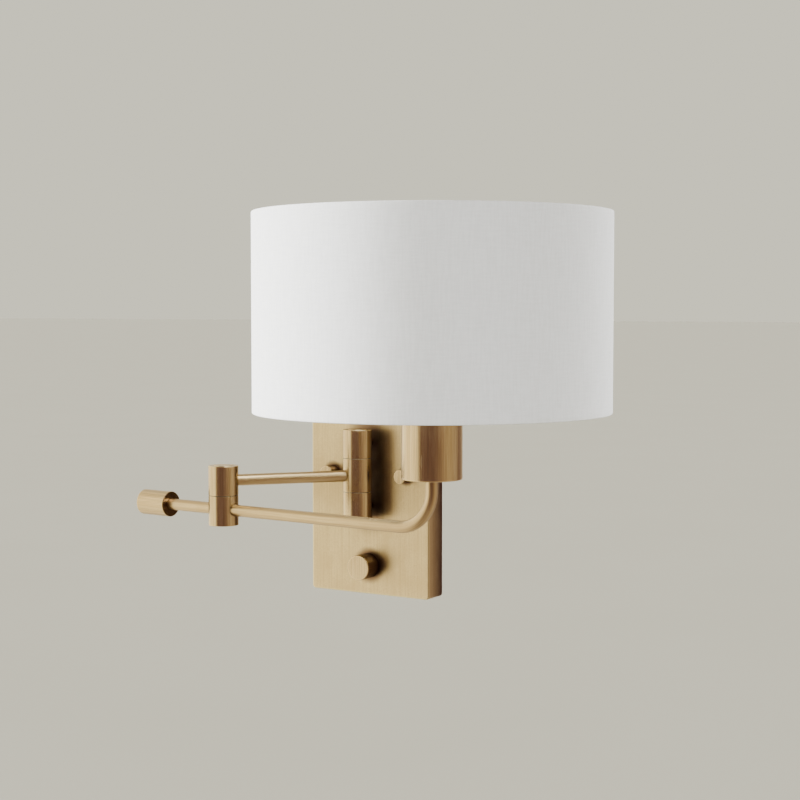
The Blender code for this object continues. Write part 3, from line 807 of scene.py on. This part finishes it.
def make_handle():
    away = -along_outer
    near, far, edge = 0.0602, 0.0910, 0.0005
    radius, hole = Extent("handle_grip").size.z / 2, tube_radius + 0.0002
    rod_end = far - 0.009
    start = elbow_axis + outer_level
    make_bar("handle_bar", "outer_arm", [start + away * let_in, start + away * rod_end], 0.0, "handle_rod")
    outline = [
        (0, rod_end + 0.0003, 0), (hole, rod_end + 0.0003, 0), (hole, near, 0.0002),
        (radius, near, edge), (radius, far, edge), (0, far, 0),
    ]

    # Painted shade, with some patina: the grip's face towards the elbow is darkened.
    def darkened(point):
        return 0.75 if point.dot(away) < near + edge / 2 else 0.0

    how = {"outline": outline, "place": start, "pointing": away, "patina": darkened}
    turned("turned_grip", brass, "outer_arm", "satin_brass", "handle_grip", **how)


make_handle()


# -----
# Standoffs. Two short brass studs hold the post off the backplate. The upper one is hollow and
# lets the lead through. Each has a nut behind the plate.

def make_standoff(node):
    stud = Extent(node)
    radius, length = stud.size.x / 2, stud.size.y
    outline = [(0, 0, 0), (radius, 0, 0.0003), (radius, length, 0), (0, length, 0)]
    how = {"outline": outline, "place": stud.back, "pointing": out_of_wall, "sides": 48}
    # Painted shade, with some patina: the standoffs, in the gap behind the post, are darkened all over.
    how["patina"] = lambda point: 0.7
    turned(f"{node}_turned", brass, "wall_unit", "satin_brass", node, **how)


make_standoff("wire_nipple")
make_standoff("lower_standoff")


# -----
# Dimmer. A rotary dimmer behind the plate, with its bushing through it, and a turned brass knob
# pushed on its shaft. The knob hides the nut.

def make_knob():
    knob = Extent("dimmer_knob")
    radius, length = knob.size.x / 2, knob.size.y
    shaft_bore, front_wall = 0.0032, 0.0034
    nut_room, nut_depth = 0.0086, 0.0052
    outline = [
        (0, length - front_wall, 0), (shaft_bore, length - front_wall, 0),
        (shaft_bore, nut_depth, 0), (nut_room, nut_depth, 0), (nut_room, 0, 0.0002),
        (radius, 0, 0.0003), (radius, length, 0.0006), (0, length, 0),
    ]

    # Painted shade, with some patina: the knob's side darkens towards the plate.
    def darkened(point):
        return 0.9 * max(0.0, 1 + point.y / length) ** 0.35

    how = {"outline": outline, "place": knob.back, "pointing": out_of_wall, "patina": darkened}
    turned("turned_knob", brass, "dimmer_control", "satin_brass", "dimmer_knob", **how)


make_knob()
phenolic = moulded("black_phenolic", (0.018, 0.017, 0.016), (0.030, 0.028, 0.026), 0.38)
sheath = moulded("white_sheath", (0.74, 0.72, 0.66), (0.80, 0.78, 0.73), 0.45)
refinish(phenolic, "dimmer_body")
refinish(sheath, "dimmer_lead", "inner_arm_lead", "outer_arm_lead")


# -----
# Steel fittings. The slotted crossbar on the wall box, its studs and nuts, and the spindles and
# nuts inside the hinges: pressed and turned steel with a dull zinc plating.

def zinc_plate(name):
    """A dull grey metal with a faint spangle, for plated steel and for rolled aluminium."""
    material, graph = new_finish(name)
    place = graph.where()
    spangle = graph.node("ShaderNodeTexVoronoi", sockets={"Vector": place, "Scale": 420.0})
    cloud = graph.noise(place, 60.0, 4.0)
    share = graph.step(cloud + spangle * 0.3, 0.35, 0.8)
    colour = graph.blend(share, (0.50, 0.53, 0.57), (0.64, 0.67, 0.71))
    dull = 0.34 + 0.2 * (cloud - 0.5)
    relief = graph.relief(spangle, 0.05, 0.0001)
    graph.skin({"Base Color": colour, "Metallic": 1.0, "Roughness": dull, "Normal": relief})
    return material


zinc = zinc_plate("zinc_plate")
steel_nodes = [
    node
    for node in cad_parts
    if (node.startswith("stud_") or node.endswith(("_nut", "spindle"))) and node != "shade_ring_nut"
]
refinish(zinc, *steel_nodes, "crossbar", "dimmer_bushing", "dimmer_shaft", "cup_locknut")
green = moulded("green_dye", (0.03, 0.22, 0.07), (0.05, 0.30, 0.10), 0.35)
refinish(green, "ground_screw")


# -----
# Socket cup. A spun brass cup on the riser's end, closed underneath around the tube and open at
# the top, where the lampholder's flange sits in its mouth.

cup = Extent("socket_cup")
cup_radius, cup_wall = 0.0232, 0.0012


def on_lamp(level=0.0):
    """The point on the lamp's upright axis at a level."""
    return lamp_axis + Vector((0, 0, level))


def upright(outline, level=0.0, sides=96, ring=False):
    """How a piece is turned about the lamp's upright axis."""
    return {"outline": outline, "place": on_lamp(level), "pointing": (0, 0, 1), "sides": sides, "ring": ring}


def make_cup():
    length, floor = cup.size.z, 0.0016
    hole, inside = tube_radius + 0.0002, cup_radius - cup_wall
    outline = [
        (hole, 0, 0.0002), (cup_radius, 0, 0.0009), (cup_radius, length, 0.0003),
        (inside, length, 0.0003), (inside, floor, 0), (hole, floor, 0),
    ]
    how = upright(outline, cup.low.z, 144, True)
    turned("spun_cup", brass, "outer_arm", "satin_brass", "socket_cup", **how)


make_cup()


# -----
# Lampholder. Black phenolic with a threaded skirt, an aluminium screw shell inside it, and a
# ribbed ring that clamps the shade's fitter down on its flange.

def thread_tree():
    """A screw thread's ridge: a coil of a small bar round the Z axis."""
    tree = Tree("thread", radius=0.01, length=0.01, turns=3.0, ridge=0.001, steps=48)
    sockets = {
        "Resolution": tree.given["steps"],
        "Rotations": tree.given["turns"],
        "Start Radius": tree.given["radius"],
        "End Radius": tree.given["radius"],
        "Height": tree.given["length"],
    }
    coil = tree.node("GeometryNodeCurveSpiral", {}, sockets)
    return tree.end(tree.swept(coil, tree.circle(6, tree.given["ridge"])))


thread = thread_tree()


def make_thread(name, material, slot, level, pitch, **sizes):
    """A thread round the lamp's axis from a level up."""
    turns = sizes["length"] / pitch
    mesh = thread.grown(blank_start(name), name, on_lamp(level), turns=turns, material=material, **sizes)
    new_piece(name, mesh, material, "outer_arm", slot)


skirt_radius = 0.0180


def make_lampholder():
    holder = Extent("lampholder")
    base, top = holder.low.z, holder.high.z
    rest, shoulder = cup.high.z + 0.0004, cup.high.z - 0.003
    inner, skirt = cup_radius - cup_wall - 0.0002, skirt_radius - 0.0004
    waist, shell_bore, shell_floor = 0.017, 0.0144, 0.045
    outline = [
        (0, base, 0), (0.011, base, 0.0005), (waist, base + 0.007, 0.001),
        (waist, shoulder, 0.0005), (inner, shoulder, 0.0003), (inner, rest, 0.0004),
        (skirt, rest, 0.0003), (skirt, top, 0.0006), (shell_bore, top, 0.0004),
        (shell_bore, shell_floor, 0), (0, shell_floor, 0),
    ]
    turned("phenolic_holder", phenolic, "outer_arm", "black_phenolic", "lampholder", **upright(outline))
    sizes = {"radius": skirt_radius - 0.0006, "length": top - rest - 0.0016, "ridge": 0.0006}
    make_thread("holder_thread", phenolic, "black_phenolic", rest + 0.0007, 0.0025, **sizes)


make_lampholder()


def rib_tree():
    """Upright ribs spaced evenly round the Z axis."""
    tree = Tree("ribs", count=36, radius=0.02, low=0.0, high=0.005, rib=0.0006)
    foot, head = [
        tree.node("ShaderNodeCombineXYZ", sockets={0: tree.given["radius"], 2: tree.given[end]})
        for end in ("low", "high")
    ]
    line = tree.node("GeometryNodeCurvePrimitiveLine", {}, {"Start": foot, "End": head})
    return tree.end(tree.all_round(tree.swept(line, tree.circle(8, tree.given["rib"]))))


def make_ring_nut():
    nut = Extent("shade_ring_nut")
    rib, hole, length = 0.0006, skirt_radius + 0.0002, nut.size.z
    body = 0.0240 - rib
    outline = [
        (hole, 0, 0.0003), (body, 0, 0.0006), (body, length, 0.0010), (hole, length, 0.0005),
    ]
    how = upright(outline, nut.low.z, ring=True)
    turned("ring_nut_body", phenolic, "outer_arm", "black_phenolic", "shade_ring_nut", **how)
    sizes = {"count": 40, "radius": body, "low": 0.0008, "high": length - 0.0012, "rib": rib}
    start = blank_start("ring_nut_ribs")
    ribs = rib_tree().grown(start, "ring_nut_ribs", on_lamp(nut.low.z), material=phenolic, **sizes)
    new_piece("ring_nut_ribs", ribs, phenolic, "outer_arm", "black_phenolic")


make_ring_nut()


# -----
# Bulb. A frosted pear bulb: a blown glass envelope cemented into an aluminium screw cap with a
# rolled thread, a black insulating ring and a tin contact at its foot.

aluminium = zinc_plate("rolled_aluminium")
raw_brass = brushed_brass("raw_brass", (0.62, 0.47, 0.26), (0.48, 0.35, 0.19), 0.42, 0.14, 0.2, 0.4)
refinish(aluminium, "screw_shell")
refinish(raw_brass, "centre_contact")


def frosted_glass():
    """Glass with a fine white powder on its inside, which lets light deep in."""
    material, graph = new_finish("frosted_glass")
    place = graph.where()
    powder = graph.noise(place, 1800.0, 2.0)
    cloud = graph.noise(place, 35.0, 3.0)
    share = graph.step(powder * 0.4 + cloud * 0.6, 0.3, 0.7)
    colour = graph.blend(share, (0.86, 0.86, 0.83), (0.93, 0.93, 0.91))
    surface = {"Base Color": colour, "Roughness": 0.22 + 0.10 * cloud, "Coat Weight": 0.5}
    graph.skin({**surface, "Subsurface Weight": 0.35, "Subsurface Scale": 0.004})
    return material


def make_bulb():
    glass = Extent("bulb_glass")
    wide, neck, shoulder, thickness = 0.0300, 0.0131, 0.089, 0.0010
    centre = glass.high.z - wide
    steps = 14

    def envelope(offset):
        """The pear's outline from its neck up to its crown."""
        outer, inner = wide - offset, neck - offset
        points = [(inner, glass.low.z, 0)]
        for k in range(steps):
            share = k / (steps - 1)
            ease = share * share * (3 - 2 * share)
            points.append((inner + (outer - inner) * ease, shoulder + (centre - shoulder) * share, 0))
        for k in range(1, steps):
            angle = math.radians(90 * k / steps)
            points.append((outer * math.cos(angle), centre + outer * math.sin(angle), 0))
        points.append((0, centre + outer, 0))
        return points

    how = upright(envelope(0)[::-1] + envelope(thickness), sides=72)
    turned("bulb_envelope", frosted_glass(), "outer_arm", "frosted_glass", "bulb_glass", **how)


def make_bulb_cap():
    cap = Extent("bulb_cap")
    foot, top = cap.low.z, cap.high.z
    waist, collar = 0.0124, 0.0131
    outline = [
        (0, foot, 0), (0.0046, foot, 0.0004), (0.0054, foot + 0.0028, 0),
        (0.0116, foot + 0.0055, 0.0004), (waist, foot + 0.0075, 0.0004),
        (waist, top - 0.004, 0.0003), (collar, top - 0.0035, 0.0003), (collar, top, 0.0003),
        (0, top, 0),
    ]
    how = upright(outline, sides=72)
    turned("bulb_screw_cap", aluminium, "outer_arm", "bare_aluminium", "bulb_cap", **how)
    sizes = {"radius": waist, "length": 0.0150, "ridge": 0.0007}
    make_thread("bulb_thread", aluminium, "bare_aluminium", foot + 0.0085, 0.0036, **sizes)


make_bulb()
make_bulb_cap()


# -----
# Shade frame. White enamelled wire: a hoop at each rim of the drum, and three spokes from the
# lower hoop to a washer on the lampholder, cranked up so that the washer clears the cup.

enamel = moulded("white_enamel", (0.80, 0.80, 0.77), (0.84, 0.84, 0.82), 0.32, 500.0, 0.04)
hoop_wire, hoop_radius = 0.0015, 0.1319


def hoop_tree():
    """A round wire bent into a circle about the Z axis."""
    tree = Tree("hoop", radius=0.1, wire=0.0015, steps=160)
    path = tree.circle(tree.given["steps"], tree.given["radius"])
    return tree.end(tree.swept(path, tree.circle(14, tree.given["wire"]), False))


def spoke_tree():
    """A cranked wire repeated evenly round the Z axis."""
    tree = Tree("spokes", wire=0.0013, bend=0.01, count=3, start=0.0)
    spoke = tree.swept(tree.filleted(8, True), tree.circle(14, tree.given["wire"]))
    return tree.end(tree.all_round(spoke, tree.given["start"]))


hoops = hoop_tree()


def make_hoop(rim):
    node = f"shade_hoop_{rim}"
    start, place = blank_start("hoop"), on_lamp(Extent(node).middle.z)
    sizes = {"radius": hoop_radius, "wire": hoop_wire, "material": enamel}
    mesh = hoops.grown(start, f"hoop_{rim}", place, **sizes)
    new_piece(f"wire_hoop_{rim}", mesh, enamel, "outer_arm", "white_enamel", node)


def make_fitter():
    """The washer, and the wires that run from it down to the lower hoop."""
    top = Extent("shade_fitter").high.z
    thick, hole, rim, edge = 0.0015, 0.0183, 0.0270, 0.0003
    outline = [(hole, 0, edge), (rim, 0, edge), (rim, thick, edge), (hole, thick, edge)]
    how = upright(outline, top - thick, ring=True)
    turned("fitter_washer", enamel, "outer_arm", "white_enamel", "shade_fitter", **how)
    shelf, hoop_level = top - thick / 2, Extent("shade_hoop_bottom").middle.z
    reach = hoop_radius - hoop_wire
    run = [
        (0.0245, 0, shelf), (0.036, 0, shelf), (0.046, 0, shelf - 0.0024),
        (reach - 0.012, 0, hoop_level + 0.0008), (reach + 0.0006, 0, hoop_level),
    ]
    bearing = math.atan2(along_outer.y, along_outer.x) + math.radians(90)
    sizes = {"wire": 0.0013, "bend": 0.012, "start": bearing, "material": enamel}
    spokes = spoke_tree().grown(drawn_line("spoke", run), "spokes", on_lamp(), **sizes)
    new_piece("fitter_spokes", spokes, enamel, "outer_arm", "white_enamel")


make_hoop("bottom")
make_hoop("top")
make_fitter()


# -----
# Shade. A drum of off-white linen laminated to a translucent styrene sheet. The linen is rolled
# over both hoops and glued inside, and its ends overlap in one upright seam, turned to the wall.

def linen_cloth():
    """Plain weave: crossing yarns of uneven thickness, with the slubs that linen has."""
    material, cloth = new_finish("white_linen")
    weave = cloth.stored("weave", "Vector")
    across, up, _ = cloth.parts(weave)
    turns = math.tau / 0.00048

    def yarns(position, other, spacing):
        """Height of a set of yarns that run along the other direction, over and under."""
        wave = cloth.maths("SINE", position * turns)
        under = cloth.maths("SINE", other * (turns / 2) + spacing)
        return wave * 0.5 + under * 0.25 + 0.5

    def slubs(scale_across, scale_up):
        return cloth.noise(weave, (scale_across, scale_up, 0), 3.0, 0.6)

    fine = slubs(1300.0, 26.0) * 0.5 + slubs(26.0, 1300.0) * 0.5
    warp = cloth.step(slubs(560.0, 45.0), 0.41, 0.59)
    weft = cloth.step(slubs(70.0, 620.0), 0.41, 0.59)
    threads = yarns(across, up, 0.0) * 0.5 + yarns(up, across, math.pi / 2) * 0.5
    tone = warp * 0.5 + weft * 0.35 + cloth.step(fine, 0.40, 0.60) * 0.15
    colour = cloth.blend(tone, (0.60, 0.60, 0.59), (1.0, 1.0, 0.995))
    colour = cloth.blend(cloth.step(threads, 0.1, 0.5) * 0.25, (0.76, 0.76, 0.75), colour)
    relief = cloth.relief(threads * 0.5 + tone * 0.5, 0.35, 0.00025)
    cloth.skin({"Base Color": colour, "Roughness": 0.92, "Sheen Weight": 0.15, "Normal": relief})
    return material


def make_linen():
    """The cloth's section is drawn once, from the glued edge inside the lower rim, round the hem, up
    the wall and over the upper hem, and carried round the drum with a lap at the seam."""
    shade = Extent("shade_fabric")
    shade_radius, thickness, turn_in, hem_radius = 0.1350, 0.0004, 0.0100, 0.0009
    inside = shade_radius - 0.0040
    face = shade_radius - thickness / 2
    lap = 0.0100 / shade_radius
    steps_up, sides = 36, 240

    def hem(rim, sign):
        """From the glued edge inside, over the hoop, to the start of the outer face, at one rim."""
        points = [(inside, rim + sign * turn_in), (inside, rim + sign * turn_in * 0.5)]
        for middle, start in ((inside + hem_radius, 180), (face - hem_radius, 270)):
            for k in range(5):
                angle = math.radians(start + 90 * k / 4)
                rise = hem_radius * (1 + math.sin(angle))
                points.append((middle + hem_radius * math.cos(angle), rim + sign * rise))
        return points

    lower = hem(shade.low.z + thickness / 2, 1)
    upper = hem(shade.high.z - thickness / 2, -1)[::-1]
    wall_foot, wall_head = lower[-1][1], upper[0][1]
    wall = [(face, wall_foot + (wall_head - wall_foot) * k / steps_up) for k in range(1, steps_up)]
    section = lower + wall + upper
    lengths = [0.0]
    for (r0, z0), (r1, z1) in zip(section, section[1:]):
        lengths.append(lengths[-1] + math.hypot(r1 - r0, z1 - z0))
    seam = math.radians(90)
    sweep = math.tau + lap
    step_over, lifted = 0.02, 0.00045
    bm = bmesh.new()
    weave = bm.verts.layers.float_vector.new("weave")
    columns = []
    for i in range(sides + 1):
        angle = seam + sweep * i / sides
        past = sweep * i / sides - math.tau
        lift = 0.0 if past < -step_over else lifted * min(1.0, (past + step_over) / step_over)
        column = []
        for (radius, height), along in zip(section, lengths):
            r = radius + (lift if radius > (inside + face) / 2 else -lift)
            x, y = r * math.cos(angle), r * math.sin(angle)
            vert = bm.verts.new((lamp_axis.x + x, lamp_axis.y + y, height))
            vert[weave] = (shade_radius * sweep * i / sides, along, 0)
            column.append(vert)
        columns.append(column)
    for near, far in zip(columns, columns[1:]):
        for k in range(len(section) - 1):
            bm.faces.new((near[k], far[k], far[k + 1], near[k + 1]))
    mesh = bpy.data.meshes.new("linen")
    bm.to_mesh(mesh)
    bm.free()
    mesh.shade_smooth()
    cloth = new_piece("linen_drum", mesh, linen_cloth(), "outer_arm", "white_linen", "shade_fabric")
    thick = cloth.modifiers.new("thickness", "SOLIDIFY")
    thick.thickness = thickness
    thick.offset = 0


make_linen()


def styrene_sheet():
    material, graph = new_finish("styrene_sheet")
    place = graph.where()
    cloud = graph.noise(place, 40.0, 3.0)
    fine = graph.noise(place, 1500.0, 2.0)
    share = graph.step(cloud * 0.7 + fine * 0.3, 0.35, 0.65)
    colour = graph.blend(share, (0.80, 0.80, 0.78), (0.86, 0.86, 0.845))
    relief = graph.relief(fine, 0.06, 0.0001)
    graph.skin({"Base Color": colour, "Roughness": 0.42 + 0.1 * cloud, "Normal": relief})
    return material


def make_liner():
    liner = Extent("shade_liner")
    outer, height = 0.1342, liner.size.z
    inner = outer - 0.0005
    outline = [(inner, 0, 0), (outer, 0, 0), (outer, height, 0), (inner, height, 0)]
    how = upright(outline, liner.low.z, 240, True)
    turned("styrene_liner", styrene_sheet(), "outer_arm", "styrene", "shade_liner", **how)


make_liner()
